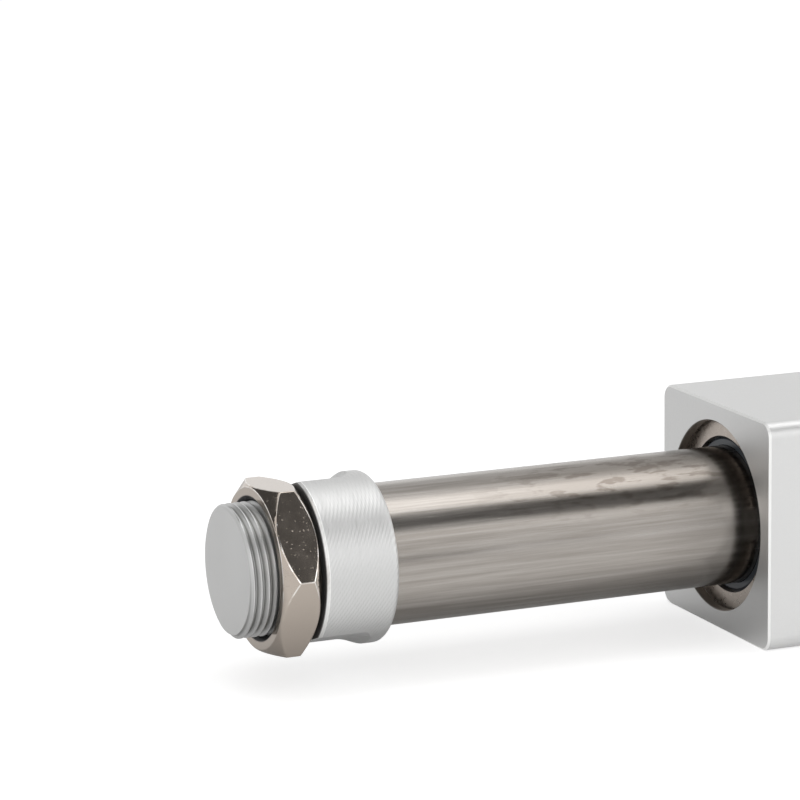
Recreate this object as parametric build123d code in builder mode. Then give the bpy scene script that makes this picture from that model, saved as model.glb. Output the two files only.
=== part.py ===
"""Rodless pneumatic cylinder with a magnetically coupled slider, 25 mm bore, 150 mm stroke.

Millimetres. The cylinder's axis is X, +Z is up, and the origin is the middle of the axis between
the two threaded ends. The slider stands 5 mm left of mid-stroke, and the part rests on its
underside. The cylinder is the same at both ends, so an end piece is drawn for the right end and
mirrored for the left.
"""

import os
from math import cos, radians, sin, tan

from build123d import *

os.makedirs("parts", exist_ok=True)

# Cylinder: driving dimensions
bore = 25.0                    # inside diameter of the tube
tube_wall = 1.4
stroke = 150.0
slider_offset = -5.0           # where the slider stands at rest, from mid-stroke
stop_gap = 5.5                 # left between slider and head cover at the end of the stroke

# Head cover
cover_length = 15.0
cover_wall = 2.8               # metal outside the tube's socket
cover_front_chamfer = 0.5
cover_back_land = 1.55         # flat left between the socket and the rounded back edge
boss_diameter = 26.0           # outside diameter of the mounting thread
boss_length = 14.0
boss_chamfer = 0.9
flat_cut_depth = 1.75          # of each wrench flat
flats_length = 9.0             # straight part of each wrench flat, from the cover's front face
flats_runout = 3.0             # radius that the cutter leaves where a flat ends
cover_turn = -19.0             # how far the covers stand turned about the axis
cut_margin = 3.0               # how far a cut runs past the metal

# Air port and passage, measured from the cover's front face
port_radius = 4.3
port_depth = 8.0
port_position = 6.0
port_face_radius = 5.5
port_face_depth = 1.0
port_chamfer = 0.4
port_drill_radius = 2.5
passage_radius = 4.0
passage_floor = 4.0            # metal between the passage and the cover's front face

# Spigot and socket that hold the tube, and what sits in them
tube_seat = 11.3               # the tube's end butts here, from the cover's front face
fit_clearance = 0.05           # between tube and spigot or socket
static_clearance = 0.15        # round a seal or ring in its groove
spigot_length = 5.7
gasket_groove_start = 0.9      # from the tube seat
gasket_groove_width = 2.0
gasket_groove_depth = 1.4
snap_ring_start = 1.2          # from the tube seat
snap_ring_thickness = 1.0
snap_ring_tube_depth = 0.5
snap_ring_cover_depth = 0.6
snap_ring_gap_angle = 24.0
bumper_passage_margin = 2.0    # from the passage to the bumper's recess
bumper_spigot_margin = 2.25    # from the recess to the spigot's outside
bumper_recess = 1.5
bumper_thickness = 4.0
bumper_edge_radius = 0.6

# Mounting nut
nut_wall = 3.0                 # from the thread to a flat
nut_thickness = 8.0
nut_gap = 0.6                  # between the nut and the head cover
nut_turn = -3.0                # how far the nuts stand turned about the axis
nut_face_margin = 0.3          # from a flat to where the corner chamfers meet the nut's faces
nut_chamfer_angle = 43.0
nut_bore_chamfer = 0.9
nut_corner_margin = 0.5        # how far the turned cones run past the corners
thread_clearance = 0.1

# Magnet stacks: yokes and magnets alternate, with a yoke at both ends
magnet_count = 4
yoke_length = 3.0
ring_edge_chamfer = 0.25
outer_stack_clearance = 0.2    # to the slider's bore
outer_yoke_tube_gap = 0.4
outer_magnet_tube_gap = 0.7
inner_yoke_tube_gap = 0.4
inner_magnet_tube_gap = 0.9

# Slider body
slider_length = 70.0
slider_thin_wall = 3.8         # between the bore and a flat side
slider_end_length = 14.5       # what the rings at each end take up, from the end face to the magnets
slider_edge_radius = 3.0
slider_end_chamfer = 0.4
slider_bore_chamfer = 0.2

# Slider mounting holes, tapped into the back face
hole_end_distance = 10.0       # from the slider's end faces
hole_side_distance = 8.0       # from its top and underside
hole_radius = 2.1
hole_depth = 8.0
hole_mouth_radius = 2.6

# Slider end, measured from the slider's end face
retaining_groove_start = 1.9
retaining_groove_depth = 0.8
retaining_ring_thickness = 1.5
retaining_ring_play = 0.6      # left in front of the ring in its groove
retaining_ring_scraper_gap = 0.25
retaining_gap_angle = 34.0
retaining_gap_direction = 180.0
retaining_hole_radius = 1.0
retaining_hole_from_gap = 6.0  # degrees
scraper_front = 3.1
scraper_seat_depth = 2.1
scraper_thickness = 1.7        # of its nose, measured from the tube
scraper_flange = 1.3           # from the nose to the seat in the side ring
scraper_nose_chamfer = 0.5
scraper_lip_length = 0.6
scraper_relief = 0.7
scraper_clearance = 0.08       # to the tube
side_ring_tube_gap = 0.5
side_ring_groove_reach = 1.5   # of its inner grooves, from the tube
side_ring_wall = 2.1           # outside the scraper's seat
lube_ring_start = 6.8
lube_ring_length = 1.6
slider_wear_ring_start = 9.1
slider_wear_ring_length = 4.6
running_clearance = 0.1        # of a wear ring on the tube's wall
groove_side_play = 0.05
wear_ring_gap_angle = 6.0

# Piston
piston_tube_gap = 0.35
piston_end_clearance = 0.3     # between piston and bumper at the end of the stroke
piston_edge_chamfer = 0.6
piston_wear_ring_start = 2.5   # from the piston's inner end
piston_wear_ring_length = 3.6
piston_wear_ring_depth = 1.2
piston_seal_start = 8.6
piston_seal_length = 3.0
piston_seal_depth = 2.6
piston_seal_notch = 1.1
nut_recess_depth = 7.5
nut_recess_margin = 1.5        # from a flat of the nut to the recess's wall
piston_nut_wall = 2.5
piston_nut_thickness = 6.5
piston_nut_face_margin = 0.4
shaft_radius = 4.0
shaft_clearance = 0.15
shaft_setback = 0.5            # of the shaft's end behind the piston's face
shaft_chamfer = 0.6

# Places worked out from the sizes above, for the right end
tube_inner = bore / 2
tube_outer = tube_inner + tube_wall
spigot_radius = tube_inner - fit_clearance
socket_radius = tube_outer + fit_clearance
cover_diameter = 2 * (socket_radius + cover_wall)
cover_back_radius = cover_wall - cover_back_land
flats_across = cover_diameter - 2 * flat_cut_depth
cover_back = (stroke + slider_length) / 2 + stop_gap
cover_front = cover_back + cover_length
boss_end = cover_front + boss_length
tube_end = cover_front - tube_seat
spigot_end = tube_end - spigot_length
bumper_inner_radius = passage_radius + bumper_passage_margin
bumper_outer_radius = spigot_radius - bumper_spigot_margin
bumper_seat = spigot_end + bumper_recess
bumper_face = bumper_seat - bumper_thickness
snap_ring_inner_end = tube_end - snap_ring_start - snap_ring_thickness
nut_across_flats = boss_diameter + 2 * nut_wall
slider_end = slider_length / 2
stack_half = slider_end - slider_end_length
magnet_length = (2 * stack_half - (magnet_count + 1) * yoke_length) / magnet_count
scraper_nose_radius = tube_outer + scraper_thickness
scraper_seat_radius = scraper_nose_radius + scraper_flange
stack_outer = scraper_seat_radius + side_ring_wall
slider_bore_radius = stack_outer + outer_stack_clearance
slider_section = 2 * (slider_bore_radius + slider_thin_wall)
side_ring_groove_radius = tube_outer + side_ring_groove_reach
side_ring_start = retaining_groove_start + retaining_ring_play + retaining_ring_thickness
piston_end = bumper_face - piston_end_clearance - stroke / 2
piston_radius = tube_inner - piston_tube_gap
shaft_bore = shaft_radius + shaft_clearance
piston_nut_across_flats = 2 * (shaft_radius + piston_nut_wall)
nut_recess_radius = piston_nut_across_flats / 2 + nut_recess_margin


def save(piece, label):
    """Labels a finished piece and writes its STEP file."""
    piece.label = label
    export_step(piece, "parts/" + label + ".step")


def save_both_ends(piece, name, middle=0.0):
    """Writes an end piece, drawn about X = 0, and its mirror image, both moved to middle."""
    save(Pos(middle, 0, 0) * piece, name + "_right")
    save(Pos(middle, 0, 0) * mirror(piece, about=Plane.YZ), name + "_left")


def turned_ring(start, length, inner_radius, outer_radius, edge=0.0):
    """A ring about the X axis, from start to start + length, its outer rims chamfered."""
    with BuildPart() as turned:
        with BuildSketch(Plane.YZ.offset(start)):
            Circle(outer_radius)
            Circle(inner_radius, mode=Mode.SUBTRACT)
        extrude(amount=length)
        if edge > 0:
            rims = turned.edges().filter_by(GeomType.CIRCLE).group_by(SortBy.RADIUS)[-1]
            chamfer(rims, edge)
    return turned.part


def open_ring(start, length, inner_radius, outer_radius, gap_angle, direction=0.0):
    """A C-shaped ring about the X axis, open over gap_angle degrees round a direction."""
    reach = 2 * outer_radius
    half_gap = radians(gap_angle / 2)
    with BuildPart() as turned:
        with BuildSketch(Plane.YZ.offset(start)):
            Circle(outer_radius)
            Circle(inner_radius, mode=Mode.SUBTRACT)
            with Locations(Rotation(0, 0, direction)):
                Polygon(
                    (0, 0),
                    (reach * cos(half_gap), -reach * sin(half_gap)),
                    (reach * cos(half_gap), reach * sin(half_gap)),
                    align=None,
                    mode=Mode.SUBTRACT,
                )
        extrude(amount=length)
    return turned.part


def hexagon_nut(start, thickness, across_flats, face_radius, bore_radius, bore_chamfer):
    """A hexagon nut about the X axis, its corners turned down to a cone at both faces."""
    corner_radius = across_flats / 2 / cos(radians(30)) + nut_corner_margin
    cone_length = (corner_radius - face_radius) * tan(radians(nut_chamfer_angle))
    end = start + thickness
    with BuildPart() as nut:
        with BuildSketch(Plane.YZ.offset(start)):
            RegularPolygon(across_flats / 2, 6, major_radius=False)
            Circle(bore_radius, mode=Mode.SUBTRACT)
        extrude(amount=thickness)
        with BuildSketch(Plane.XZ):
            with BuildLine():
                Polyline(
                    (start, 0),
                    (start, face_radius),
                    (start + cone_length, corner_radius),
                    (end - cone_length, corner_radius),
                    (end, face_radius),
                    (end, 0),
                    close=True,
                )
            make_face()
        revolve(axis=Axis.X, mode=Mode.INTERSECT)
        mouths = nut.edges().filter_by(GeomType.CIRCLE).group_by(SortBy.RADIUS)[0]
        chamfer(mouths, bore_chamfer)
    return nut.part


# Cylinder tube: drawn stainless tube, grooved near both ends for the snap rings
with BuildPart() as cylinder_tube:
    with BuildSketch(Plane.YZ.offset(-tube_end)):
        Circle(tube_outer)
        Circle(tube_inner, mode=Mode.SUBTRACT)
    extrude(amount=2 * tube_end)
    for groove_start in (snap_ring_inner_end, -snap_ring_inner_end - snap_ring_thickness):
        with BuildSketch(Plane.YZ.offset(groove_start)):
            Circle(tube_outer + cut_margin)
            Circle(tube_outer - snap_ring_tube_depth, mode=Mode.SUBTRACT)
        extrude(amount=snap_ring_thickness, mode=Mode.SUBTRACT)
save(cylinder_tube.part, "cylinder_tube")

# Head cover: turned from bar in one piece with its threaded boss and its spigot
with BuildPart() as head_cover:
    with BuildSketch(Plane.XZ):
        with BuildLine():
            Polyline(
                (cover_front - passage_floor, 0),
                (boss_end, 0),
                (boss_end, boss_diameter / 2 - boss_chamfer),
                (boss_end - boss_chamfer, boss_diameter / 2),
                (cover_front, boss_diameter / 2),
                (cover_front, cover_diameter / 2 - cover_front_chamfer),
                (cover_front - cover_front_chamfer, cover_diameter / 2),
                (cover_back, cover_diameter / 2),
                (cover_back, socket_radius),
                (tube_end, socket_radius),
                (tube_end, spigot_radius),
                (spigot_end, spigot_radius),
                (spigot_end, passage_radius),
                (cover_front - passage_floor, passage_radius),
                close=True,
            )
        make_face()
    revolve(axis=Axis.X)
    back_rims = head_cover.edges().filter_by(GeomType.CIRCLE).filter_by_position(
        Axis.X, cover_back, cover_back
    )
    fillet(back_rims.sort_by(SortBy.RADIUS)[-1], cover_back_radius)

    # Grooves for the gasket and the snap ring, and the bumper's recess
    gasket_groove_end = tube_end - gasket_groove_start
    with BuildSketch(Plane.YZ.offset(gasket_groove_end)):
        Circle(spigot_radius + fit_clearance)
        Circle(spigot_radius - gasket_groove_depth, mode=Mode.SUBTRACT)
    extrude(amount=-gasket_groove_width, mode=Mode.SUBTRACT)
    with BuildSketch(Plane.YZ.offset(snap_ring_inner_end)):
        Circle(socket_radius + snap_ring_cover_depth)
        Circle(socket_radius, mode=Mode.SUBTRACT)
    extrude(amount=snap_ring_thickness, mode=Mode.SUBTRACT)
    with BuildSketch(Plane.YZ.offset(spigot_end)):
        Circle(bumper_outer_radius)
        Circle(bumper_inner_radius, mode=Mode.SUBTRACT)
    extrude(amount=bumper_recess, mode=Mode.SUBTRACT)

    # Two wrench flats, each ending in the arc that the cutter leaves
    flat_end = cover_front - flats_length
    cut_top = cover_diameter / 2 + cut_margin
    for turn in (cover_turn, cover_turn + 180):
        with BuildSketch(Plane.XZ.rotated((turn, 0, 0))):
            with BuildLine():
                straight = Line((cover_front + cut_margin, flats_across / 2), (flat_end, flats_across / 2))
                runout = JernArc(straight @ 1, straight % 1, flats_runout, -90)
                Polyline(
                    runout @ 1,
                    (flat_end - flats_runout, cut_top),
                    (cover_front + cut_margin, cut_top),
                    straight @ 0,
                )
            make_face()
        extrude(amount=cover_diameter, both=True, mode=Mode.SUBTRACT)

    # Air port at right angles to the flats, on the back, with a faced seat round its mouth
    port_plane = Plane(
        origin=(cover_front - port_position, 0, 0),
        x_dir=(1, 0, 0),
        z_dir=(0, cos(radians(cover_turn)), sin(radians(cover_turn))),
    )
    port_face = port_plane.offset(cover_diameter / 2 - port_face_depth)
    with BuildSketch(port_face):
        Circle(port_face_radius)
    extrude(amount=cut_margin, mode=Mode.SUBTRACT)
    with Locations(port_face):
        CounterSinkHole(port_radius, port_radius + port_chamfer, port_depth, counter_sink_angle=90)
    with BuildSketch(port_plane):
        Circle(port_drill_radius)
    extrude(amount=cover_diameter / 2 - port_depth, mode=Mode.SUBTRACT)
save_both_ends(head_cover.part, "head_cover")

# Mounting nut: plated hexagon nut on the threaded boss
mounting_nut = hexagon_nut(
    cover_front + nut_gap,
    nut_thickness,
    nut_across_flats,
    nut_across_flats / 2 - nut_face_margin,
    boss_diameter / 2 + thread_clearance,
    nut_bore_chamfer,
)
save_both_ends(Rot(nut_turn, 0, 0) * mounting_nut, "mounting_nut")

# Tube gasket: O-ring between the spigot and the tube
gasket_space = gasket_groove_depth + fit_clearance
with BuildPart() as tube_gasket:
    with BuildSketch(Plane.XZ):
        with Locations((gasket_groove_end - gasket_groove_width / 2, tube_inner - gasket_space / 2)):
            Circle(gasket_space / 2 - static_clearance)
    revolve(axis=Axis.X)
save_both_ends(tube_gasket.part, "tube_gasket")

# Snap ring: lies half in the tube's groove and half in the cover's, and locks the two together
snap_ring = open_ring(
    snap_ring_inner_end + groove_side_play,
    snap_ring_thickness - 2 * groove_side_play,
    tube_outer - snap_ring_tube_depth + static_clearance,
    socket_radius + snap_ring_cover_depth - static_clearance,
    snap_ring_gap_angle,
)
save_both_ends(snap_ring, "snap_ring")

# Bumper: urethane ring in the spigot's end, which stops the piston
with BuildPart() as bumper:
    with BuildSketch(Plane.YZ.offset(bumper_face)):
        Circle(bumper_outer_radius - static_clearance)
        Circle(bumper_inner_radius + static_clearance, mode=Mode.SUBTRACT)
    extrude(amount=bumper_thickness)
    fillet(bumper.faces().sort_by(Axis.X)[0].edges(), bumper_edge_radius)
save_both_ends(bumper.part, "bumper")

# Slider body: square bar bored through, with a ring groove near each end
with BuildPart() as slider_body:
    with BuildSketch(Plane.YZ.offset(-slider_end)):
        RectangleRounded(slider_section, slider_section, slider_edge_radius)
    extrude(amount=slider_length)
    chamfer(slider_body.faces().filter_by(Plane.YZ).edges(), slider_end_chamfer)
    with BuildSketch(Plane.YZ.offset(-slider_end)):
        Circle(slider_bore_radius)
    extrude(amount=slider_length, mode=Mode.SUBTRACT)
    chamfer(slider_body.edges().filter_by(GeomType.CIRCLE).group_by(SortBy.RADIUS)[-1], slider_bore_chamfer)
    groove_width = retaining_ring_thickness + retaining_ring_play
    for groove_start in (
        slider_end - retaining_groove_start - groove_width,
        -slider_end + retaining_groove_start,
    ):
        with BuildSketch(Plane.YZ.offset(groove_start)):
            Circle(slider_bore_radius + retaining_groove_depth)
        extrude(amount=groove_width, mode=Mode.SUBTRACT)
    back_face = Plane(origin=(0, slider_section / 2, 0), x_dir=(1, 0, 0), z_dir=(0, 1, 0))
    with Locations(back_face):
        with GridLocations(
            slider_length - 2 * hole_end_distance, slider_section - 2 * hole_side_distance, 2, 2
        ):
            CounterSinkHole(hole_radius, hole_mouth_radius, hole_depth, counter_sink_angle=90)
save(Pos(slider_offset, 0, 0) * slider_body.part, "slider_body")

# Retaining ring: spring steel C-ring with two plier holes, in the slider's groove
ring_outer = slider_bore_radius + retaining_groove_depth - static_clearance
ring_inner = scraper_nose_radius + retaining_ring_scraper_gap
ring_start = slider_end - side_ring_start
hole_angle = retaining_gap_angle / 2 + retaining_hole_from_gap
hole_circle = (ring_inner + slider_bore_radius) / 2
plain_ring = open_ring(
    ring_start, retaining_ring_thickness, ring_inner, ring_outer, retaining_gap_angle, retaining_gap_direction
)
with BuildPart() as retaining_ring:
    add(plain_ring)
    with BuildSketch(Plane.YZ.offset(ring_start)):
        for side in (-1, 1):
            with PolarLocations(hole_circle, 1, start_angle=retaining_gap_direction + side * hole_angle):
                Circle(retaining_hole_radius)
    extrude(amount=retaining_ring_thickness, mode=Mode.SUBTRACT)
save_both_ends(retaining_ring.part, "retaining_ring", slider_offset)

# Side ring: clamps the magnet stack and holds the scraper, the lubricator ring and the wear ring
side_ring_inner_end = stack_half
side_ring_outer_end = slider_end - side_ring_start
with BuildPart() as side_ring:
    with BuildSketch(Plane.YZ.offset(side_ring_inner_end)):
        Circle(stack_outer)
        Circle(tube_outer + side_ring_tube_gap, mode=Mode.SUBTRACT)
    extrude(amount=side_ring_outer_end - side_ring_inner_end)
    for groove_start, groove_length in (
        (lube_ring_start, lube_ring_length),
        (slider_wear_ring_start, slider_wear_ring_length),
    ):
        with BuildSketch(Plane.YZ.offset(slider_end - groove_start)):
            Circle(side_ring_groove_radius)
        extrude(amount=-groove_length, mode=Mode.SUBTRACT)
    with BuildSketch(Plane.YZ.offset(side_ring_outer_end)):
        Circle(scraper_seat_radius)
    extrude(amount=-scraper_seat_depth, mode=Mode.SUBTRACT)
save_both_ends(side_ring.part, "side_ring", slider_offset)

# Scraper: moulded rubber ring whose lip wipes the tube
scraper_lip = tube_outer + scraper_clearance
scraper_body = scraper_seat_radius - static_clearance
scraper_seat_end = side_ring_start + scraper_seat_depth
with BuildPart() as scraper:
    with BuildSketch(Plane.XZ):
        with BuildLine():
            Polyline(
                (slider_end - scraper_front, scraper_lip),
                (slider_end - scraper_front, scraper_nose_radius - scraper_nose_chamfer),
                (slider_end - scraper_front - scraper_nose_chamfer, scraper_nose_radius),
                (side_ring_outer_end, scraper_nose_radius),
                (side_ring_outer_end, scraper_body),
                (slider_end - scraper_seat_end, scraper_body),
                (slider_end - scraper_seat_end, scraper_lip + scraper_relief),
                (side_ring_outer_end - scraper_lip_length, scraper_lip + scraper_relief),
                (slider_end - scraper_front - scraper_lip_length, scraper_lip),
                close=True,
            )
        make_face()
    revolve(axis=Axis.X)
save_both_ends(scraper.part, "scraper", slider_offset)

# Rings in the side ring's grooves: felt lubricator ring and split resin wear ring
lube_ring = turned_ring(
    slider_end - lube_ring_start - lube_ring_length + groove_side_play,
    lube_ring_length - 2 * groove_side_play,
    tube_outer + running_clearance,
    side_ring_groove_radius - static_clearance,
)
save_both_ends(lube_ring, "lube_ring", slider_offset)
slider_wear_ring = open_ring(
    slider_end - slider_wear_ring_start - slider_wear_ring_length + groove_side_play,
    slider_wear_ring_length - 2 * groove_side_play,
    tube_outer + running_clearance,
    side_ring_groove_radius - static_clearance,
    wear_ring_gap_angle,
)
save_both_ends(slider_wear_ring, "slider_wear_ring", slider_offset)

# Magnet stacks: one set of rings in the slider and one on the piston shaft, face to face
pitch = magnet_length + yoke_length
stack_start = slider_offset - stack_half
for number in range(magnet_count + 1):
    yoke_start = stack_start + number * pitch
    save(
        turned_ring(
            yoke_start, yoke_length, tube_outer + outer_yoke_tube_gap, stack_outer, ring_edge_chamfer
        ),
        f"outer_yoke_{number + 1}",
    )
    save(
        turned_ring(
            yoke_start, yoke_length, shaft_bore, tube_inner - inner_yoke_tube_gap, ring_edge_chamfer
        ),
        f"inner_yoke_{number + 1}",
    )
for number in range(magnet_count):
    magnet_start = stack_start + yoke_length + number * pitch
    save(
        turned_ring(magnet_start, magnet_length, tube_outer + outer_magnet_tube_gap, stack_outer),
        f"outer_magnet_{number + 1}",
    )
    save(
        turned_ring(magnet_start, magnet_length, shaft_bore, tube_inner - inner_magnet_tube_gap),
        f"inner_magnet_{number + 1}",
    )

# Piston: turned aluminium, grooved for its wear ring and seal, with a recess for the nut
with BuildPart() as piston:
    with BuildSketch(Plane.YZ.offset(stack_half)):
        Circle(piston_radius)
        Circle(shaft_bore, mode=Mode.SUBTRACT)
    extrude(amount=piston_end - stack_half)
    chamfer(piston.faces().sort_by(Axis.X)[-1].edges().sort_by(SortBy.RADIUS)[-1], piston_edge_chamfer)
    for groove_start, groove_length, groove_depth in (
        (piston_wear_ring_start, piston_wear_ring_length, piston_wear_ring_depth),
        (piston_seal_start, piston_seal_length, piston_seal_depth),
    ):
        with BuildSketch(Plane.YZ.offset(stack_half + groove_start)):
            Circle(piston_radius + cut_margin)
            Circle(piston_radius - groove_depth, mode=Mode.SUBTRACT)
        extrude(amount=groove_length, mode=Mode.SUBTRACT)
    with BuildSketch(Plane.YZ.offset(piston_end)):
        Circle(nut_recess_radius)
    extrude(amount=-nut_recess_depth, mode=Mode.SUBTRACT)
save_both_ends(piston.part, "piston", slider_offset)

# Piston wear ring: split resin ring
piston_wear_ring = open_ring(
    stack_half + piston_wear_ring_start + groove_side_play,
    piston_wear_ring_length - 2 * groove_side_play,
    piston_radius - piston_wear_ring_depth + static_clearance,
    tube_inner - running_clearance,
    wear_ring_gap_angle,
)
save_both_ends(piston_wear_ring, "piston_wear_ring", slider_offset)

# Piston seal: rubber ring with two lips, parted by a notch
seal_start = stack_half + piston_seal_start + groove_side_play
seal_end = stack_half + piston_seal_start + piston_seal_length - groove_side_play
seal_middle = (seal_start + seal_end) / 2
seal_outer = tube_inner - running_clearance
seal_inner = piston_radius - piston_seal_depth + static_clearance
with BuildPart() as piston_seal:
    with BuildSketch(Plane.XZ):
        with BuildLine():
            Polyline(
                (seal_start, seal_inner),
                (seal_start, seal_outer),
                (seal_middle - piston_seal_notch / 2, seal_outer),
                (seal_middle, seal_outer - piston_seal_notch),
                (seal_middle + piston_seal_notch / 2, seal_outer),
                (seal_end, seal_outer),
                (seal_end, seal_inner),
                close=True,
            )
        make_face()
    revolve(axis=Axis.X)
save_both_ends(piston_seal.part, "piston_seal", slider_offset)

# Piston shaft and its two nuts, sunk in the pistons' ends
shaft_half = piston_end - shaft_setback
with BuildPart() as piston_shaft:
    with BuildSketch(Plane.YZ.offset(-shaft_half)):
        Circle(shaft_radius)
    extrude(amount=2 * shaft_half)
    chamfer(piston_shaft.edges().filter_by(GeomType.CIRCLE), shaft_chamfer)
save(Pos(slider_offset, 0, 0) * piston_shaft.part, "piston_shaft")
piston_nut = hexagon_nut(
    piston_end - nut_recess_depth,
    piston_nut_thickness,
    piston_nut_across_flats,
    piston_nut_across_flats / 2 - piston_nut_face_margin,
    shaft_radius + thread_clearance,
    shaft_chamfer,
)
save_both_ends(piston_nut, "piston_nut", slider_offset)
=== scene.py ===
"""Looks of a rodless pneumatic cylinder: a magnetically coupled slider on a stainless tube.

Metres. X is the cylinder's axis and Z is up. The sections follow the order in which the cylinder
is put together, and the studio and the camera come last.
"""

from math import cos, pi, radians, sin

import bmesh
import bpy
from mathutils import Matrix, Vector


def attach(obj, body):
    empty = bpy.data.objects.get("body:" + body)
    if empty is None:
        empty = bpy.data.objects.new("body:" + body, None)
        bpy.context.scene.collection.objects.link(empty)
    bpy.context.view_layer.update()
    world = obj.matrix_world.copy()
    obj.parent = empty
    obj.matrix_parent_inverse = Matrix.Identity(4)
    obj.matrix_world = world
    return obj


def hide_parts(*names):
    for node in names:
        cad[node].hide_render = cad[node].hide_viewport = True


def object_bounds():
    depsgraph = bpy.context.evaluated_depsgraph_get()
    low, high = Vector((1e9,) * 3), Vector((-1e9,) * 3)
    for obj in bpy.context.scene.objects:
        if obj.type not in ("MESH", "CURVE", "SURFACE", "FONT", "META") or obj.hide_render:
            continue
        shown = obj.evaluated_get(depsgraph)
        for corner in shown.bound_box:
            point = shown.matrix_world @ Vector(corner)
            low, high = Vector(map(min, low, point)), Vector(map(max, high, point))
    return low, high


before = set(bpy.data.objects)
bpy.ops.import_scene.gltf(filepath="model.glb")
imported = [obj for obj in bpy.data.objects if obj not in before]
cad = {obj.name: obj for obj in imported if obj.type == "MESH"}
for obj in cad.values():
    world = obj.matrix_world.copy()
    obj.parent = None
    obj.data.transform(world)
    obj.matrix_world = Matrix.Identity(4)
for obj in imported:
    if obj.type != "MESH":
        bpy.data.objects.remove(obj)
cad_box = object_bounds()


# Cylinder tube. Cold-drawn stainless steel, polished lengthwise, which leaves long faint streaks
# and a grey that runs a little warm. It is stained beside the slider, and it carries painted shade
# and a painted reflection of the slider's dark mouths there.
SLIDER_MIDDLE = -0.005
# Where the painted shade and the stains on the tube's top fade in
STAINS_AND_SHADE_FADE_IN = (-0.105, -0.065)
# Where the painted reflection of the slider's mouths fades in and out
MOUTH_REFLECTION_UNDER_SLIDER = (0.026, 0.034)  # both from the slider's middle
MOUTH_REFLECTION_OUTSIDE_SLIDER = (0.060, 0.038)


def new_finish(name, colour, roughness, metallic=1.0):
    """A material with one Principled shader, whose plain values are set on its own sockets."""
    material = bpy.data.materials.new(name)
    material.use_nodes = True
    shader = material.node_tree.nodes["Principled BSDF"]
    shader.inputs["Base Color"].default_value = (*colour, 1.0)
    shader.inputs["Metallic"].default_value = metallic
    shader.inputs["Roughness"].default_value = roughness
    return material


def feed(tree, socket, value):
    """Sets a socket to a plain number, or links it to another socket."""
    if isinstance(value, (int, float)):
        socket.default_value = value
    else:
        tree.links.new(value, socket)


def calculate(tree, operation, *values):
    """One Math node over numbers and sockets; gives a socket."""
    node = tree.nodes.new("ShaderNodeMath")
    node.operation = operation
    for socket, value in zip(node.inputs, values):
        feed(tree, socket, value)
    return node.outputs[0]


def map_range(tree, value, start, end, low=0.0, high=1.0, kind="LINEAR"):
    """Runs from low, where the value is start, to high, where it is end; gives a socket."""
    node = tree.nodes.new("ShaderNodeMapRange")
    node.interpolation_type = kind
    names = ("Value", "From Min", "From Max", "To Min", "To Max")
    for name, given in zip(names, (value, start, end, low, high)):
        feed(tree, node.inputs[name], given)
    return node.outputs["Result"]


def colour_ramp(tree, value, stops):
    """Runs from colour to colour through stops, each a position and a colour; gives a socket."""
    ramp = tree.nodes.new("ShaderNodeValToRGB")
    elements = ramp.color_ramp.elements
    for index, (position, colour) in enumerate((stops[0], stops[-1])):
        elements[index].position = position
        elements[index].color = (*colour, 1.0)
    for position, colour in stops[1:-1]:
        elements.new(position).color = (*colour, 1.0)
    tree.links.new(value, ramp.inputs["Fac"])
    return ramp.outputs["Color"]


def object_place(material):
    """The Object coordinates, on which every finish is laid out; gives a socket."""
    return material.node_tree.nodes.new("ShaderNodeTexCoord").outputs["Object"]


def place_coordinate(material, axis, middle=None):
    """The Object coordinate on one axis, or the distance from a middle plane; gives a socket."""
    tree = material.node_tree
    split = tree.nodes.new("ShaderNodeSeparateXYZ")
    tree.links.new(object_place(material), split.inputs[0])
    if middle is None:
        return split.outputs[axis]
    return calculate(tree, "ABSOLUTE", calculate(tree, "SUBTRACT", split.outputs[axis], middle))


def place_radius(material):
    """The distance from the X axis; gives a socket."""
    tree = material.node_tree
    flatten = tree.nodes.new("ShaderNodeVectorMath")
    flatten.operation = "MULTIPLY"
    flatten.inputs[1].default_value = (0.0, 1.0, 1.0)
    tree.links.new(object_place(material), flatten.inputs[0])
    length = tree.nodes.new("ShaderNodeVectorMath")
    length.operation = "LENGTH"
    tree.links.new(flatten.outputs["Vector"], length.inputs[0])
    return length.outputs["Value"]


def place_noise(material, scale, stretch=(1.0, 1.0, 1.0), detail=3.0, roughness=0.55):
    """Noise on Object coordinates, which stretch multiplies axis by axis; gives a socket."""
    tree = material.node_tree
    mapping = tree.nodes.new("ShaderNodeMapping")
    mapping.inputs["Scale"].default_value = stretch
    noise = tree.nodes.new("ShaderNodeTexNoise")
    noise.inputs["Scale"].default_value = scale
    noise.inputs["Detail"].default_value = detail
    noise.inputs["Roughness"].default_value = roughness
    tree.links.new(object_place(material), mapping.inputs["Vector"])
    tree.links.new(mapping.outputs["Vector"], noise.inputs["Vector"])
    return noise.outputs["Fac"]


def vary_colour(material, value, dark, light, low=0.35, high=0.65):
    """Lets a value between low and high run the base colour from dark to light."""
    tree = material.node_tree
    colour = colour_ramp(tree, value, [(low, dark), (high, light)])
    tree.links.new(colour, tree.nodes["Principled BSDF"].inputs["Base Color"])


def vary_roughness(material, value, smooth, rough, low=0.3, high=0.7):
    """Lets a value between low and high run the roughness from smooth to rough."""
    tree = material.node_tree
    spread = map_range(tree, value, low, high, smooth, rough)
    tree.links.new(spread, tree.nodes["Principled BSDF"].inputs["Roughness"])


def raise_surface(material, value, depth):
    """Bump from a value, depth metres high, on top of any bump that is there already."""
    tree = material.node_tree
    normal = tree.nodes["Principled BSDF"].inputs["Normal"]
    bump = tree.nodes.new("ShaderNodeBump")
    bump.inputs["Strength"].default_value = 1.0
    bump.inputs["Distance"].default_value = depth
    tree.links.new(value, bump.inputs["Height"])
    if normal.is_linked:
        tree.links.new(normal.links[0].from_socket, bump.inputs["Normal"])
    tree.links.new(bump.outputs["Normal"], normal)


def fade(material, value, start, end, top=1.0):
    """Runs smoothly from 0, where the value is start, to top, where it is end."""
    return map_range(material.node_tree, value, start, end, high=top, kind="SMOOTHSTEP")


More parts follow.
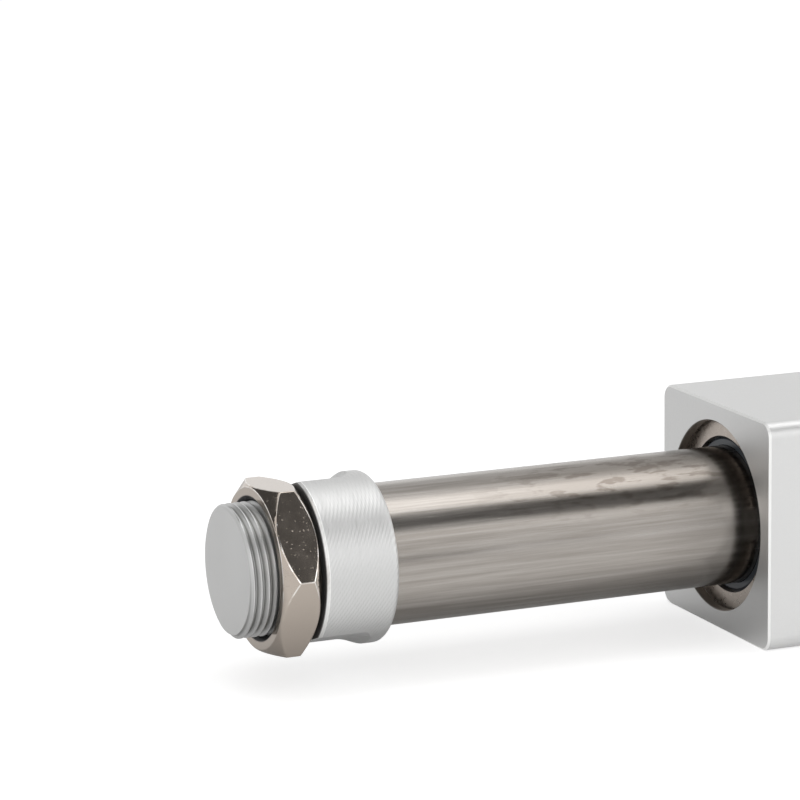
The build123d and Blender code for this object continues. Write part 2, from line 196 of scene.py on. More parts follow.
def multiply(material, first, *others):
    """The product of several values."""
    for other in others:
        first = calculate(material.node_tree, "MULTIPLY", first, other)
    return first


def overlay(material, share, value, name="Base Color"):
    """Mixes a colour or a number over one of the shader's inputs by a share from 0 to 1."""
    tree = material.node_tree
    target = tree.nodes["Principled BSDF"].inputs[name]
    coloured = target.type == "RGBA"
    mix = tree.nodes.new("ShaderNodeMix")
    mix.data_type = "RGBA" if coloured else "FLOAT"
    factor, under, over = [socket for socket in mix.inputs if socket.enabled]
    if target.is_linked:
        tree.links.new(target.links[0].from_socket, under)
    else:
        under.default_value = target.default_value
    over.default_value = (*value, 1.0) if coloured else value
    tree.links.new(share, factor)
    tree.links.new(next(socket for socket in mix.outputs if socket.enabled), target)


def dress(nodes, material):
    """Gives CAD nodes their material."""
    for node in nodes:
        piece = cad[node]
        piece.data.materials.clear()
        piece.data.materials.append(material)


drawn_stainless = new_finish("drawn_stainless", (0.40, 0.372, 0.343), roughness=0.22)
tube_streaks = place_noise(
    drawn_stainless, scale=4.0, stretch=(6.0, 220.0, 220.0), detail=6.0, roughness=0.65
)
vary_colour(drawn_stainless, tube_streaks, dark=(0.33, 0.303, 0.276), light=(0.46, 0.432, 0.402))
vary_roughness(drawn_stainless, tube_streaks, smooth=0.18, rough=0.28)
raise_surface(drawn_stainless, tube_streaks, depth=0.000008)
# Painted shade: the top darkens and turns brown towards the slider, which dims the lamp's highlight
# there. Brown stains lie on it.
tube_x = place_coordinate(drawn_stainless, "X")
tube_z = place_coordinate(drawn_stainless, "Z")
stained_and_shaded_top = multiply(
    drawn_stainless,
    fade(drawn_stainless, tube_x, *STAINS_AND_SHADE_FADE_IN, top=0.6),
    fade(drawn_stainless, tube_z, 0.004, 0.010),
)
overlay(drawn_stainless, stained_and_shaded_top, (0.29, 0.26, 0.23))
blotches = place_noise(drawn_stainless, scale=650.0, stretch=(0.3, 1.0, 1.0), detail=6.0)
stains = multiply(drawn_stainless, fade(drawn_stainless, blotches, 0.50, 0.62), stained_and_shaded_top)
overlay(drawn_stainless, stains, (0.15, 0.12, 0.10))
# Painted reflection: a dark band round the tube beside each end of the slider, for the reflection
# of its dark mouth
from_slider = place_coordinate(drawn_stainless, "X", middle=SLIDER_MIDDLE)
painted_mouth_reflection = multiply(
    drawn_stainless,
    fade(drawn_stainless, from_slider, *MOUTH_REFLECTION_OUTSIDE_SLIDER, top=0.35),
    fade(drawn_stainless, from_slider, *MOUTH_REFLECTION_UNDER_SLIDER),
)
overlay(drawn_stainless, painted_mouth_reflection, (0.11, 0.10, 0.09))
dress(["cylinder_tube"], drawn_stainless)

# Tube gaskets, snap rings and bumpers. Moulded rubber O-rings, spring wire rings that lock the
# tube in the covers, and cast urethane stops. All sit inside the covers, out of sight.
moulded_rubber = new_finish("moulded_rubber", (0.025, 0.025, 0.026), roughness=0.38, metallic=0.0)
raise_surface(moulded_rubber, place_noise(moulded_rubber, scale=2500.0), depth=0.00002)
spring_steel = new_finish("spring_steel", (0.52, 0.46, 0.41), roughness=0.30)
vary_roughness(spring_steel, place_noise(spring_steel, scale=900.0), smooth=0.24, rough=0.38)
cast_urethane = new_finish("cast_urethane", (0.72, 0.52, 0.20), roughness=0.45, metallic=0.0)
urethane_clouds = place_noise(cast_urethane, scale=300.0)
vary_colour(cast_urethane, urethane_clouds, dark=(0.66, 0.46, 0.17), light=(0.74, 0.55, 0.23))
dress(["tube_gasket_left", "tube_gasket_right"], moulded_rubber)
dress(["snap_ring_left", "snap_ring_right"], spring_steel)
dress(["bumper_left", "bumper_right"], cast_urethane)

# Head covers. Each is turned from aluminium bar in one piece with its boss, which carries a
# single-start M26 x 1.5 thread with a relief at its root, and is clear anodised.
COVER_FRONT = 0.1305
BOSS_END = 0.1445
COVER_TURN = radians(-19)
PORT_POSITION = 0.006  # behind the cover's front face
THREAD_CHAMFER = 0.0004
CLEAR = 0.000001  # keeps the boss inside its CAD length
RIM_WIDTH = 0.0006
BLEND = 0.0001  # over which one colour gives way to the next
FEED = 0.00045
MARK_SPACING = 0.0007
MARK_DIRECTION = Vector((0.87, 0.0, -0.50))
SOFT_EDGE = radians(22)  # edges below this angle are shaded smooth
ANODISED_GREY = (0.66, 0.66, 0.655)
BOSS_THREAD = {
    "Pitch": 0.0015,
    "Major": 0.0130,
    "Root": 0.0121,
    "Neck": COVER_FRONT - 0.0015,
    "Start": COVER_FRONT + 0.0012,
    "End": BOSS_END - CLEAR,
    "Chamfer": THREAD_CHAMFER,
    "Turns": 11,
    "Segments": 120,
}
PORT_THREAD = {
    "Pitch": 0.000907,
    "Major": 0.00486,
    "Root": 0.00425,
    "Neck": 0.0082,
    "Start": 0.0090,
    "End": 0.0172,
    "Chamfer": THREAD_CHAMFER,
    "Turns": 11,
    "Segments": 64,
}


def thread_tree():
    """A closed threaded stud about X: a neck, a helical thread chamfered at its end, two discs."""
    tree = bpy.data.node_groups.new("threaded_stud", "GeometryNodeTree")
    tree.interface.new_socket("Geometry", in_out="OUTPUT", socket_type="NodeSocketGeometry")
    for name in ("Pitch", "Major", "Root", "Neck", "Start", "End", "Chamfer"):
        tree.interface.new_socket(name, in_out="INPUT", socket_type="NodeSocketFloat")
    for name in ("Turns", "Segments"):
        tree.interface.new_socket(name, in_out="INPUT", socket_type="NodeSocketInt")
    tree.interface.new_socket("Finish", in_out="INPUT", socket_type="NodeSocketMaterial")
    nodes, links = tree.nodes, tree.links
    given = nodes.new("NodeGroupInput").outputs

    def solve(operation, *values):
        return calculate(tree, operation, *values)

    # The grid's X runs along the helix and its Y once across the thread's profile.
    grid = nodes.new("GeometryNodeMeshGrid")
    grid.inputs["Size X"].default_value = 1.0
    grid.inputs["Size Y"].default_value = 1.0
    grid.inputs["Vertices Y"].default_value = 17
    rows = solve("ADD", solve("MULTIPLY", given["Turns"], given["Segments"]), 1.0)
    links.new(rows, grid.inputs["Vertices X"])
    split = nodes.new("ShaderNodeSeparateXYZ")
    links.new(nodes.new("GeometryNodeInputPosition").outputs[0], split.inputs[0])
    turn = solve("MULTIPLY", solve("ADD", split.outputs["X"], 0.5), given["Turns"])
    across = solve("ADD", split.outputs["Y"], 0.5)
    travel = solve("MULTIPLY", solve("ADD", turn, across), given["Pitch"])
    along = solve("ADD", solve("SUBTRACT", given["Start"], given["Pitch"]), travel)
    along = solve("MINIMUM", solve("MAXIMUM", along, given["Start"]), given["End"])

    # Flat crest and root, each an eighth of the pitch, with straight flanks between them. At the
    # thread's start and end the radius stays under a slope, which chamfers both.
    half_flat = 1 / 16
    wrapped = solve("WRAP", across, half_flat + 0.5, half_flat - 0.5)
    from_crest = solve("ABSOLUTE", solve("SUBTRACT", wrapped, half_flat))
    profile = map_range(
        tree, from_crest, half_flat, 0.5 - half_flat, given["Major"], given["Root"]
    )
    height = solve("SUBTRACT", given["Major"], given["Root"])
    slope = solve("DIVIDE", height, given["Chamfer"])
    to_end = solve("SUBTRACT", given["End"], along)
    lead_in = solve("ADD", given["Root"], solve("MULTIPLY", slope, to_end))
    run_out = solve("ADD", given["Root"], solve("SUBTRACT", along, given["Start"]))
    radius = solve("MINIMUM", profile, solve("MINIMUM", lead_in, run_out))
    angle = solve("MULTIPLY", turn, 2 * pi)
    placed = nodes.new("ShaderNodeCombineXYZ")
    links.new(along, placed.inputs["X"])
    links.new(solve("MULTIPLY", radius, solve("COSINE", angle)), placed.inputs["Y"])
    links.new(solve("MULTIPLY", radius, solve("SINE", angle)), placed.inputs["Z"])
    bend = nodes.new("GeometryNodeSetPosition")
    links.new(grid.outputs["Mesh"], bend.inputs["Geometry"])
    links.new(placed.outputs[0], bend.inputs["Position"])

    # The neck is a plain cylinder, and a disc closes the stud at each end.
    neck = nodes.new("GeometryNodeMeshCylinder")
    neck.fill_type = "NONE"
    links.new(given["Segments"], neck.inputs["Vertices"])
    links.new(given["Root"], neck.inputs["Radius"])
    links.new(solve("SUBTRACT", given["Start"], given["Neck"]), neck.inputs["Depth"])
    neck_middle = solve("MULTIPLY", solve("ADD", given["Start"], given["Neck"]), 0.5)
    disc = nodes.new("GeometryNodeMeshCircle")
    disc.fill_type = "NGON"
    links.new(given["Segments"], disc.inputs["Vertices"])
    links.new(given["Root"], disc.inputs["Radius"])
    joined = nodes.new("GeometryNodeJoinGeometry")
    links.new(bend.outputs["Geometry"], joined.inputs[0])
    for shape, place in (
        (neck, neck_middle),
        (disc, given["Neck"]),
        (disc, given["End"]),
    ):
        centre = nodes.new("ShaderNodeCombineXYZ")
        links.new(place, centre.inputs["X"])
        move = nodes.new("GeometryNodeTransform")
        move.inputs["Rotation"].default_value = (0.0, pi / 2, 0.0)
        links.new(centre.outputs[0], move.inputs["Translation"])
        links.new(shape.outputs["Mesh"], move.inputs["Geometry"])
        links.new(move.outputs["Geometry"], joined.inputs[0])
    weld = nodes.new("GeometryNodeMergeByDistance")
    weld.inputs["Distance"].default_value = CLEAR
    links.new(joined.outputs[0], weld.inputs["Geometry"])
    realize = nodes.new("GeometryNodeRealizeInstances")
    links.new(weld.outputs["Geometry"], realize.inputs["Geometry"])
    paint = nodes.new("GeometryNodeSetMaterial")
    links.new(realize.outputs["Geometry"], paint.inputs["Geometry"])
    links.new(given["Finish"], paint.inputs["Material"])
    links.new(paint.outputs["Geometry"], nodes.new("NodeGroupOutput").inputs[0])
    return tree


def thread_mesh(name, tree, finish, sizes, place):
    """Runs the thread tree with these sizes and gives a plain mesh, moved to its place."""
    carrier = bpy.data.objects.new(name, bpy.data.meshes.new(name))
    bpy.context.scene.collection.objects.link(carrier)
    modifier = carrier.modifiers.new("grow", "NODES")
    modifier.node_group = tree
    for item in tree.interface.items_tree:
        if item.in_out == "INPUT":
            modifier[item.identifier] = finish if item.name == "Finish" else sizes[item.name]
    evaluated = carrier.evaluated_get(bpy.context.evaluated_depsgraph_get())
    mesh = bpy.data.meshes.new_from_object(evaluated)
    carrier.modifiers.clear()
    bpy.data.objects.remove(carrier)
    shape = bmesh.new()
    shape.from_mesh(mesh)
    bmesh.ops.recalc_face_normals(shape, faces=shape.faces)
    shape.transform(place)
    shape.to_mesh(mesh)
    shape.free()
    mesh.name = name
    return mesh


def merged_solid(node):
    """A working copy of a CAD node's mesh with its doubled vertices merged."""
    shape = bmesh.new()
    shape.from_mesh(cad[node].data)
    bmesh.ops.remove_doubles(shape, verts=shape.verts, dist=1e-7)
    return shape


def finished_mesh(name, shape):
    """Turns a working copy into a mesh."""
    mesh = bpy.data.meshes.new(name)
    shape.to_mesh(mesh)
    shape.free()
    return mesh


def worked_mesh(name, base, tools):
    """The base mesh after each tool mesh has been joined to it or cut from it, in order."""
    carriers = []
    for mesh in [base] + [tool for tool, operation in tools]:
        carriers.append(bpy.data.objects.new(mesh.name, mesh))
        bpy.context.scene.collection.objects.link(carriers[-1])
    for carrier, (tool, operation) in zip(carriers[1:], tools):
        step = carriers[0].modifiers.new(tool.name, "BOOLEAN")
        step.operation = operation
        step.solver = "EXACT"
        step.object = carrier
    evaluated = carriers[0].evaluated_get(bpy.context.evaluated_depsgraph_get())
    mesh = bpy.data.meshes.new_from_object(evaluated)
    carriers[0].modifiers.clear()
    for carrier in carriers:
        bpy.data.objects.remove(carrier)
    mesh.name = name
    return mesh


def shade_by_angle(mesh, angle):
    """Smooth shading that breaks at edges above an angle, with faces square to X left flat."""
    shape = bmesh.new()
    shape.from_mesh(mesh)
    for face in shape.faces:
        face.smooth = abs(face.normal.x) < 0.9999
    for edge in shape.edges:
        edge.smooth = edge.calc_face_angle(0.0) < angle
    shape.to_mesh(mesh)
    shape.free()


def put_in_place(name, mesh, finish, node, body):
    """Makes the mesh the visible piece in place of a CAD node."""
    mesh.materials.clear()
    mesh.materials.append(finish)
    piece = bpy.data.objects.new(name, mesh)
    bpy.context.scene.collection.objects.link(piece)
    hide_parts(node)
    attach(piece, body)


turned_aluminium = new_finish("turned_aluminium", ANODISED_GREY, roughness=0.50)
turning = place_noise(turned_aluminium, scale=60.0, stretch=(60.0, 1.0, 1.0), detail=2.0)
vary_roughness(turned_aluminium, turning, smooth=0.44, rough=0.56)
raise_surface(turned_aluminium, turning, depth=0.000012)
# Fine feed marks run round the cover. A wave of this texture is 2 pi / 20 / Scale long.
feed_marks = turned_aluminium.node_tree.nodes.new("ShaderNodeTexWave")
feed_marks.inputs["Scale"].default_value = 2 * pi / 20 / FEED
turned_aluminium.node_tree.links.new(object_place(turned_aluminium), feed_marks.inputs["Vector"])
raise_surface(turned_aluminium, feed_marks.outputs["Fac"], depth=0.00001)
# The cut thread is less matt than the rest.
lengthwise = place_coordinate(turned_aluminium, "X", middle=0.0)
past_front = fade(turned_aluminium, lengthwise, COVER_FRONT, COVER_FRONT + 0.001)
before_end = fade(turned_aluminium, lengthwise, BOSS_END, BOSS_END - 0.0003)
on_thread = multiply(turned_aluminium, past_front, before_end)
overlay(turned_aluminium, on_thread, 0.42, "Roughness")
# Slanted marks of the last polishing pass cross the feed marks.
slanted = turned_aluminium.node_tree.nodes.new("ShaderNodeVectorMath")
slanted.operation = "DOT_PRODUCT"
slanted.inputs[1].default_value = MARK_DIRECTION * 2 * pi / MARK_SPACING
turned_aluminium.node_tree.links.new(object_place(turned_aluminium), slanted.inputs[0])
marks = calculate(turned_aluminium.node_tree, "SINE", slanted.outputs["Value"])
on_cover = fade(turned_aluminium, lengthwise, COVER_FRONT, COVER_FRONT - 0.0005)
raise_surface(turned_aluminium, multiply(turned_aluminium, marks, on_cover), depth=0.000018)
# Painted highlight: the chamfer at the front edge is coloured near white.
rim_highlight = fade(turned_aluminium, lengthwise, COVER_FRONT - RIM_WIDTH - BLEND, COVER_FRONT - RIM_WIDTH)
overlay(turned_aluminium, rim_highlight, (0.93, 0.93, 0.92))
overlay(turned_aluminium, past_front, ANODISED_GREY)
# Painted shade: the thread's root is coloured darker, as shade in its grooves.
root = fade(turned_aluminium, place_radius(turned_aluminium), 0.0126, 0.0122, top=0.6)
overlay(turned_aluminium, multiply(turned_aluminium, on_thread, root), (0.22, 0.22, 0.21))
# Painted shade: the front face behind the nut is coloured dark, for the shadow in the gap between
# them.
front_face_shade = multiply(
    turned_aluminium,
    fade(turned_aluminium, lengthwise, COVER_FRONT - 1.5 * BLEND, COVER_FRONT - 0.5 * BLEND),
    fade(turned_aluminium, lengthwise, COVER_FRONT + 1.5 * BLEND, COVER_FRONT + 0.5 * BLEND),
)
overlay(turned_aluminium, front_face_shade, (0.26, 0.26, 0.26))

threads = thread_tree()
for end, side in (("right", 1), ("left", -1)):
    # The cover's own solid without its smooth boss
    body = merged_solid("head_cover_" + end)
    boss = [f for f in body.faces if abs(f.calc_center_median().x) > COVER_FRONT + CLEAR]
    bmesh.ops.delete(body, geom=boss, context="FACES")
    bmesh.ops.holes_fill(body, edges=[e for e in body.edges if e.is_boundary], sides=0)
    body_mesh = finished_mesh("cover_body_" + end, body)
    # The threads are turned round rather than mirrored, so that they are right-handed at both ends.
    stud_place = Matrix.Rotation(0 if side > 0 else pi, 4, "Z")
    stud = thread_mesh("boss_thread_" + end, threads, turned_aluminium, BOSS_THREAD, stud_place)
    port_place = (
        Matrix.Translation((side * (COVER_FRONT - PORT_POSITION), 0, 0))
        @ Matrix.Rotation(COVER_TURN, 4, "X")
        @ Matrix.Rotation(pi / 2, 4, "Z")
    )
    port = thread_mesh("port_thread_" + end, threads, turned_aluminium, PORT_THREAD, port_place)
    name = "threaded_head_cover_" + end
    cover_mesh = worked_mesh(name, body_mesh, [(stud, "UNION"), (port, "DIFFERENCE")])
    shade_by_angle(cover_mesh, SOFT_EDGE)
    node = "head_cover_" + end
    put_in_place(name, cover_mesh, turned_aluminium, node, "barrel")

# Mounting nuts. Steel hexagon nuts, chamfered on both faces and bright nickel plated, screwed
# on the bosses. The plating is glossy, a little warm, and shows faint ripples.
EDGE_BREAK = 0.00015
BORE_ZONE = 0.0145  # edges nearer the axis belong to the bore and stay sharp
FLAT_AREA = 0.00002  # faces below this area are shaded smooth


def face_mark(material, name):
    """The value that the mesh's faces carry under a name; gives a socket."""
    mark = material.node_tree.nodes.new("ShaderNodeAttribute")
    mark.attribute_name = name
    return mark.outputs["Fac"]


nickel_plate = new_finish("nickel_plate", (0.50, 0.44, 0.385), roughness=0.10)
ripples = place_noise(nickel_plate, scale=420.0, detail=4.0)
vary_roughness(nickel_plate, ripples, smooth=0.07, rough=0.14)
raise_surface(nickel_plate, ripples, depth=0.000004)
specks = fade(nickel_plate, place_noise(nickel_plate, scale=2400.0, detail=1.0), 0.70, 0.77)
raise_surface(nickel_plate, specks, depth=0.000016)
# Painted highlights: bright glints on the upper edges in places.
painted_edge_glints = multiply(
    nickel_plate,
    face_mark(nickel_plate, "glint_edge"),
    fade(nickel_plate, place_coordinate(nickel_plate, "Z"), -0.004, -0.001, top=0.6),
    fade(nickel_plate, ripples, 0.38, 0.58),
)
overlay(nickel_plate, painted_edge_glints, (0.95, 0.93, 0.90))
# Painted shade: the nut's bore is coloured dark.
nut_bore_shade = fade(nickel_plate, place_radius(nickel_plate), 0.0143, 0.0139)
overlay(nickel_plate, nut_bore_shade, (0.07, 0.07, 0.075))
overlay(nickel_plate, nut_bore_shade, 0.5, "Roughness")

for end in ("left", "right"):
    # The nut with its outer edges broken, as tumbling before the plating leaves them
    shape = merged_solid("mounting_nut_" + end)
    bmesh.ops.dissolve_limit(shape, angle_limit=radians(1), verts=shape.verts, edges=shape.edges)
    outer = [e for e in shape.edges if min(Vector(v.co.yz).length for v in e.verts) > BORE_ZONE]
    sharp = [e for e in outer if e.calc_face_angle(0.0) > radians(20)]
    # The bevel's faces are marked for the painted glints.
    glint_edge = shape.faces.layers.float.new("glint_edge")
    bevel = bmesh.ops.bevel(
        shape, geom=sharp, offset=EDGE_BREAK, segments=2, profile=0.5, affect="EDGES"
    )
    for face in bevel["faces"]:
        face[glint_edge] = 1.0
    name = "bevelled_mounting_nut_" + end
    nut_mesh = finished_mesh(name, shape)
    for polygon in nut_mesh.polygons:
        polygon.use_smooth = polygon.area < FLAT_AREA
    node = "mounting_nut_" + end
    put_in_place(name, nut_mesh, nickel_plate, node, "barrel")

# Slider body. Square aluminium extrusion, bored through, milled on its ends and tapped on its
# back, then matt blasted and clear anodised.
SLIDER_HALF = 0.023
CHAMFER_RADIUS = 0.021
BORE_RADIUS = 0.0192
HOLE_X = (-0.030, 0.020)
HOLE_Z = (-0.015, 0.015)
SCREW_THREAD = {
    "Pitch": 0.0008,
    "Major": 0.0025,
    "Root": 0.00205,
    "Neck": 0.0152,
    "Start": 0.0156,
    "End": 0.0240,
    "Chamfer": THREAD_CHAMFER,
    "Turns": 13,
    "Segments": 40,
}

satin_aluminium = new_finish("satin_aluminium", (0.73, 0.73, 0.725), roughness=0.46)
grain = place_noise(satin_aluminium, scale=1600.0, detail=2.0)
vary_roughness(satin_aluminium, grain, smooth=0.42, rough=0.50)
raise_surface(satin_aluminium, grain, depth=0.000008)
# The bore is left as machined. Painted shade: its wall is coloured dark, for the shade in the bore.
slider_radius = place_radius(satin_aluminium)
bore_wall_shade = fade(satin_aluminium, slider_radius, BORE_RADIUS + 2 * BLEND, BORE_RADIUS + BLEND)
overlay(satin_aluminium, bore_wall_shade, (0.20, 0.18, 0.16))
# Painted highlight: the marked chamfers are coloured near white.
overlay(satin_aluminium, face_mark(satin_aluminium, "chamfer_highlight"), (0.95, 0.95, 0.94))

taps = []
for x in HOLE_X:
    for z in HOLE_Z:
        hole_place = Matrix.Translation((x, 0, z)) @ Matrix.Rotation(pi / 2, 4, "Z")
        name = f"screw_thread_{len(taps)}"
        tap = thread_mesh(name, threads, satin_aluminium, SCREW_THREAD, hole_place)
        taps.append((tap, "DIFFERENCE"))
bored_slider = finished_mesh("bored_slider", merged_solid("slider_body"))
slider_mesh = worked_mesh("tapped_slider_body", bored_slider, taps)
shade_by_angle(slider_mesh, SOFT_EDGE)
# The sides stay flat up to their rounded edges, and the chamfer round each end is marked for a
# painted highlight.
chamfer_highlight = slider_mesh.attributes.new("chamfer_highlight", "FLOAT", "FACE")
for polygon in slider_mesh.polygons:
    if max(abs(polygon.center.y), abs(polygon.center.z)) > SLIDER_HALF - 0.00001:
        polygon.use_smooth = False
    slants = 0.6 < abs(polygon.normal.x) < 0.8
    if slants and Vector(polygon.center.yz).length > CHAMFER_RADIUS:
        chamfer_highlight.data[polygon.index].value = 1.0
put_in_place(
    "tapped_slider_body", slider_mesh, satin_aluminium, "slider_body", "slider"
)

# Magnets and yokes of the slider's stack and of the piston's stack. Sintered magnet rings,
# plated grey, between turned steel yokes. They pull the slider along with the piston.
sintered_magnet = new_finish("sintered_magnet", (0.30, 0.30, 0.31), roughness=0.42)
magnet_grain = place_noise(sintered_magnet, scale=1200.0)
vary_colour(sintered_magnet, magnet_grain, dark=(0.26, 0.26, 0.27), light=(0.34, 0.34, 0.35))
turned_steel = new_finish("turned_steel", (0.48, 0.48, 0.48), roughness=0.30)
steel_turning = place_noise(turned_steel, scale=50.0, stretch=(60.0, 1.0, 1.0))
vary_roughness(turned_steel, steel_turning, smooth=0.24, rough=0.40)
for stack in ("outer", "inner"):
    dress([f"{stack}_magnet_{n}" for n in range(1, 5)], sintered_magnet)
    dress([f"{stack}_yoke_{n}" for n in range(1, 6)], turned_steel)

# Side rings, wear rings and lubricator rings. Turned aluminium carriers at both ends of the
# slider, with split resin bearings and oiled felt rings that run on the tube.
plain_aluminium = new_finish("plain_aluminium", (0.74, 0.74, 0.74), roughness=0.32)
ring_turning = place_noise(plain_aluminium, scale=50.0, stretch=(60.0, 1.0, 1.0))
vary_roughness(plain_aluminium, ring_turning, smooth=0.26, rough=0.40)
wear_resin = new_finish("wear_resin", (0.16, 0.16, 0.17), roughness=0.42, metallic=0.0)
resin_grain = place_noise(wear_resin, scale=1500.0)
vary_colour(wear_resin, resin_grain, dark=(0.13, 0.13, 0.14), light=(0.19, 0.19, 0.20))
oiled_felt = new_finish("oiled_felt", (0.78, 0.76, 0.70), roughness=0.85, metallic=0.0)
felt_fibres = place_noise(oiled_felt, scale=2200.0, detail=5.0)
vary_colour(oiled_felt, felt_fibres, dark=(0.66, 0.63, 0.55), light=(0.82, 0.80, 0.74))
raise_surface(oiled_felt, felt_fibres, depth=0.0001)
dress(["side_ring_left", "side_ring_right"], plain_aluminium)
dress(["slider_wear_ring_left", "slider_wear_ring_right"], wear_resin)
dress(["lube_ring_left", "lube_ring_right"], oiled_felt)

# Scrapers and retaining rings. Moulded rubber wipers whose lips run on the tube, behind
# stamped spring steel rings that spring into grooves in the slider's bore.
wiper_rubber = new_finish("wiper_rubber", (0.030, 0.038, 0.048), roughness=0.30, metallic=0.0)
raise_surface(wiper_rubber, place_noise(wiper_rubber, scale=2500.0), depth=0.00002)
dress(["scraper_left", "scraper_right"], wiper_rubber)
dress(["retaining_ring_left", "retaining_ring_right"], spring_steel)

# Piston and shaft. Turned aluminium pistons with rubber seals and resin rings, held on a ground
# steel shaft by two nuts. All of it runs inside the tube.
ground_steel = new_finish("ground_steel", (0.60, 0.60, 0.59), roughness=0.22)
vary_roughness(ground_steel, place_noise(ground_steel, scale=700.0), smooth=0.18, rough=0.30)
dress(["piston_left", "piston_right"], plain_aluminium)
dress(["piston_seal_left", "piston_seal_right"], moulded_rubber)
dress(["piston_wear_ring_left", "piston_wear_ring_right"], wear_resin)
dress(["piston_shaft", "piston_nut_left", "piston_nut_right"], ground_steel)

# Studio. A pale floor under a white sky, and three soft lamps. Dark, grey and bright cards stand
# round the cylinder, where only the metal's reflections see them, and give it its bands.
SCENE = bpy.context.scene
FLOOR_HEIGHT = cad_box[0].z
FLOOR_REACH = 6.0
FLOOR_GLOW = 0.60
SKY_LIGHT = 0.62
CARD_CENTRE = -0.135  # where the left nut stands
WHITE = (1.0, 1.0, 1.0, 1.0)


def flat_sheet(name, corners, material):
    """A four-cornered sheet of the studio."""
    mesh = bpy.data.meshes.new(name)
    mesh.from_pydata(corners, [], [(0, 1, 2, 3)])
    mesh.materials.append(material)
    sheet = bpy.data.objects.new(name, mesh)
    SCENE.collection.objects.link(sheet)
    return sheet


pale = bpy.data.materials.new("pale_floor")
pale.use_nodes = True
tree = pale.node_tree
tree.nodes.clear()
matt = tree.nodes.new("ShaderNodeBsdfDiffuse")
matt.inputs["Color"].default_value = (0.62, 0.62, 0.62, 1.0)
glow = tree.nodes.new("ShaderNodeEmission")
glow.inputs["Color"].default_value = WHITE
ray = tree.nodes.new("ShaderNodeLightPath").outputs
reflected = calculate(tree, "MAXIMUM", ray["Is Glossy Ray"], ray["Is Transmission Ray"])
# In reflections the floor's glow fades out under the cylinder, as the floor's shadow does, and it
# is fainter behind the cylinder than in front, where the front lamp falls.
FRONT_GLOW, UNDER_GLOW, REAR_GLOW = (0.42,) * 3, (0.0,) * 3, (0.20,) * 3
across = map_range(tree, place_coordinate(pale, "Y"), -0.05, 0.05)
glow_across = colour_ramp(
    tree,
    across,
    [(0.20, FRONT_GLOW), (0.44, UNDER_GLOW), (0.58, UNDER_GLOW), (1.0, REAR_GLOW)],
)
reflected_glow = calculate(tree, "MULTIPLY", reflected, glow_across)
glow_strength = calculate(
    tree, "MULTIPLY_ADD", ray["Is Camera Ray"], FLOOR_GLOW, reflected_glow
)
tree.links.new(glow_strength, glow.inputs["Strength"])
both = tree.nodes.new("ShaderNodeAddShader")
tree.links.new(matt.outputs[0], both.inputs[0])
tree.links.new(glow.outputs[0], both.inputs[1])
tree.links.new(both.outputs[0], tree.nodes.new("ShaderNodeOutputMaterial").inputs["Surface"])
floor_corners = [
    (x * FLOOR_REACH, y * FLOOR_REACH, FLOOR_HEIGHT)
    for x, y in ((-1, -1), (1, -1), (1, 1), (-1, 1))
]
floor = flat_sheet("floor", floor_corners, pale)

world = bpy.data.worlds.new("white_sky")
SCENE.world = world
world.use_nodes = True
tree = world.node_tree
tree.nodes.clear()
ray = tree.nodes.new("ShaderNodeLightPath").outputs
direct = calculate(tree, "MAXIMUM", ray["Is Camera Ray"], ray["Is Glossy Ray"])
clear = calculate(tree, "MAXIMUM", direct, ray["Is Transmission Ray"])
sky = tree.nodes.new("ShaderNodeBackground")
sky.inputs["Color"].default_value = WHITE
tree.links.new(map_range(tree, clear, 0.0, 1.0, SKY_LIGHT, 1.0), sky.inputs["Strength"])
tree.links.new(sky.outputs[0], tree.nodes.new("ShaderNodeOutputWorld").inputs["Surface"])

for name, place, target, size, power in (
    ("overhead_lamp", (0.10, 0.05, 1.10), (0.10, 0.0, 0.0), (1.4, 0.53), 2.7),
    ("front_lamp", (-0.70, -1.30, 0.55), (0.0, 0.0, 0.0), (1.4, 1.0), 5.7),
    ("side_lamp", (1.20, -0.60, 0.60), (0.0, 0.0, 0.0), (1.0, 1.0), 4.1),
):
    lamp = bpy.data.lights.new(name, "AREA")
    lamp.shape = "RECTANGLE"
    lamp.size, lamp.size_y = size
    lamp.energy = power
    holder = bpy.data.objects.new(name, lamp)
    holder.location = place
    holder.rotation_euler = (Vector(target) - Vector(place)).to_track_quat("-Z", "Y").to_euler()
    SCENE.collection.objects.link(holder)


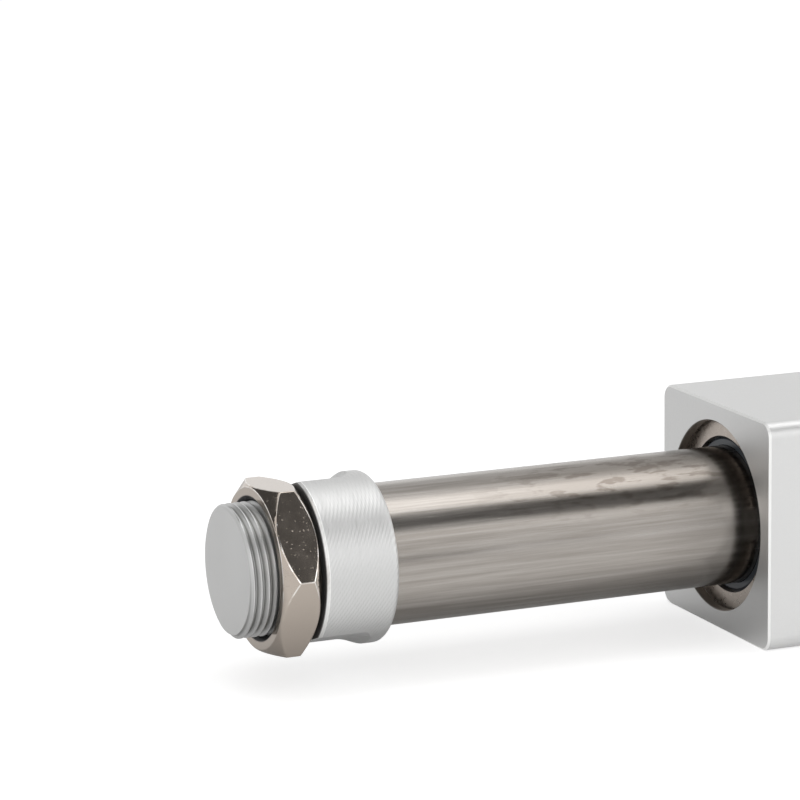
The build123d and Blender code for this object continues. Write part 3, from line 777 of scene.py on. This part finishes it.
def long_card(distance, low, high, left=-1.6, right=1.6):
    """Corners of a card parallel to the cylinder, between two elevations seen from its axis."""
    corners = []
    for x, elevation in ((left, low), (right, low), (right, high), (left, high)):
        e = radians(elevation)
        corners.append((x, -distance * cos(e), distance * sin(e)))
    return corners


def round_card(first, last, low=16, high=44, distance=0.8):
    """Corners of a card that faces the left nut, between bearings and elevations from it."""
    corners = []
    for bearing, elevation in ((first, low), (last, low), (last, high), (first, high)):
        b, e = radians(bearing), radians(elevation)
        outward = distance * cos(e)
        corners.append((outward * cos(b) + CARD_CENTRE, outward * sin(b), distance * sin(e)))
    return corners


for name, corners, brightness in (
    ("upper_card", long_card(0.9, 46.5, 76.0), 0.09),
    ("strip_card", long_card(0.95, 31.0, 46.5), 1.25),
    ("horizon_card", long_card(1.0, -3.0, 6.0, right=0.30), 0.0),
    ("rear_card", long_card(0.9, 121.0, 158.0), 0.66),
    ("side_card_1", round_card(104, 126), 0.05),
    ("side_card_2", round_card(126, 148), 0.05),
    ("side_card_3", round_card(148, 172), 0.05),
):
    paint = new_finish(name, (0.03, 0.03, 0.03), roughness=0.9, metallic=0.0)
    shader = paint.node_tree.nodes["Principled BSDF"]
    shader.inputs["Emission Color"].default_value = WHITE
    shader.inputs["Emission Strength"].default_value = brightness
    card = flat_sheet(name, corners, paint)
    card.visible_camera = False
    card.visible_diffuse = False
    card.visible_shadow = False

# Camera. A long lens, low on the left of the slider, as the photograph was taken.
CAMERA_PLACE = (-0.39635, -0.68665, 0.18610)
BEARING, ELEVATION, ROLL = radians(-22.764), radians(11.836), radians(-0.771)
camera_data = bpy.data.cameras.new("camera")
camera_data.sensor_width = 36.0
camera_data.lens = 177.77
camera_data.clip_start, camera_data.clip_end = 0.01, 50.0
camera = bpy.data.objects.new("camera", camera_data)
SCENE.collection.objects.link(camera)
SCENE.camera = camera
camera.matrix_world = (
    Matrix.Translation(CAMERA_PLACE)
    @ Matrix.Rotation(BEARING, 4, "Z")
    @ Matrix.Rotation(pi / 2 - ELEVATION, 4, "X")
    @ Matrix.Rotation(ROLL, 4, "Z")
)
SCENE.view_settings.view_transform = "Standard"
